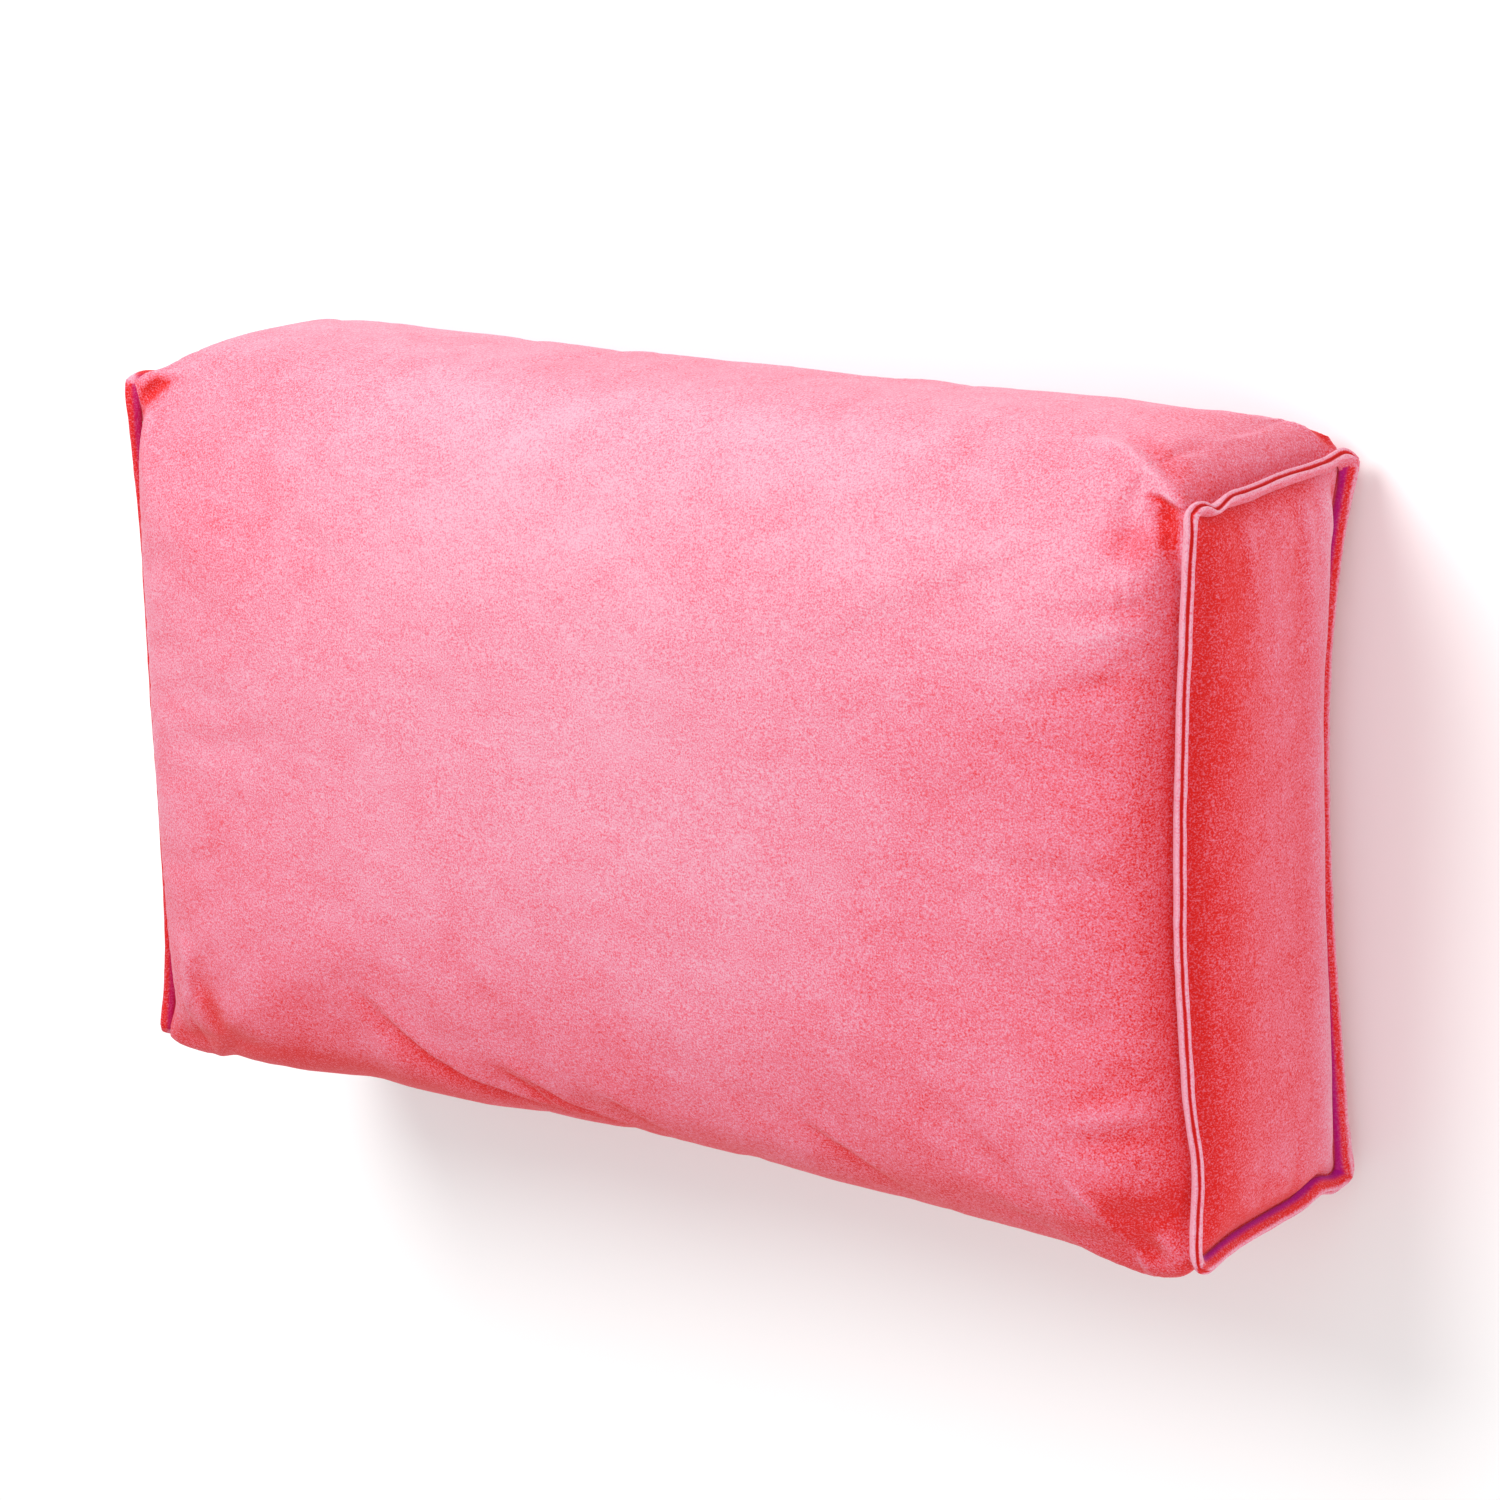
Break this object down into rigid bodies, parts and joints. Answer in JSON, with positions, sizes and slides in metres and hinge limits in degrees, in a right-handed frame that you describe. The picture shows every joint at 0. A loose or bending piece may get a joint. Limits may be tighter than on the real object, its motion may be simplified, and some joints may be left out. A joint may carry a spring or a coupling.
{
  "type": "lumbar support pillow",
  "caption": "Box-shaped lumbar pillow in pink plush, a filled wrap with rectangular end panels joined by raised double-lip seams, lying on its back.",
  "frame": {"origin": "middle of the pillow's bounding box, on the floor that its back rests on", "axes": "+X along the pillow's width to its right end, +Y towards its top edge, +Z out of its front face"},
  "size_m": [0.5586, 0.332, 0.1506],
  "materials": {
    "plush_wrap": "short brushed plush with a soft sheen",
    "plush_end": "short brushed plush with a soft sheen",
    "plush_seam": "short brushed plush, flattened at the stitches"
  },
  "bodies": {
    "root": {"pillow_body": "plush_wrap", "end_panel_left": "plush_end", "end_panel_right": "plush_end", "raised_seam_left": "plush_seam", "raised_seam_right": "plush_seam"}
  },
  "joints": []
}
